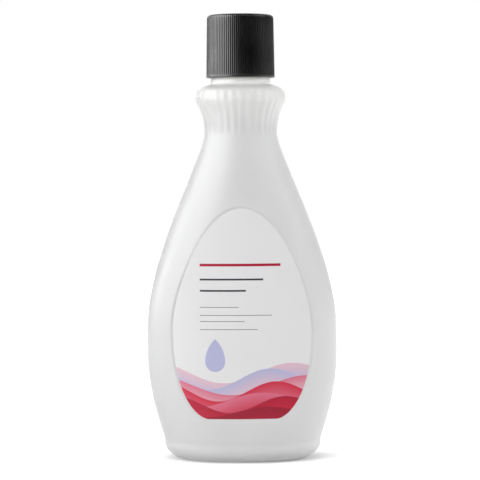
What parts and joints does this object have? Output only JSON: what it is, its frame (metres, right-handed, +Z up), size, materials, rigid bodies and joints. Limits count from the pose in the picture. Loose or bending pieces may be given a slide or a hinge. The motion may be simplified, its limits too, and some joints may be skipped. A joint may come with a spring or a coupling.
{
  "type": "nail polish remover bottle",
  "caption": "Oval squeeze bottle with a fluted collar, a teardrop label panel and a fine-ribbed screw cap over a pour plug, for nail polish remover.",
  "frame": {"origin": "middle of the base, on the surface that the bottle stands on", "axes": "+Z up along the neck, -Y towards the front label, +X to the right of someone who looks at the front"},
  "size_m": [0.0674, 0.0412, 0.1567],
  "materials": {
    "natural_plastic": "frosted translucent natural HDPE, soft sheen",
    "plug_plastic": "natural low-density polyethylene, smooth",
    "label_film": "printed translucent film, soft gloss",
    "liner_foam": "white foam sheet, fine cells",
    "black_plastic": "satin black polypropylene, finely ribbed"
  },
  "bodies": {
    "bottle": {"bottle": "natural_plastic", "orifice_reducer": "plug_plastic", "front_label": "label_film"},
    "liner": {"cap_liner": "liner_foam"},
    "cap": {"cap": "black_plastic"}
  },
  "joints": [
    {"name": "cap_lift", "type": "slide", "parent": "bottle", "child": "liner", "axis": [0, 0, 1], "range_m": [0, 0.00635]},
    {"name": "cap_turn", "type": "hinge", "parent": "liner", "child": "cap", "pos_m": [0, 0, 0.15405], "axis": [0, 0, 1], "range_deg": [0, 720]}
  ],
  "couplings": [
    {"joint": "cap_lift", "follows": "cap_turn", "m_per_rad": 0.000505}
  ]
}
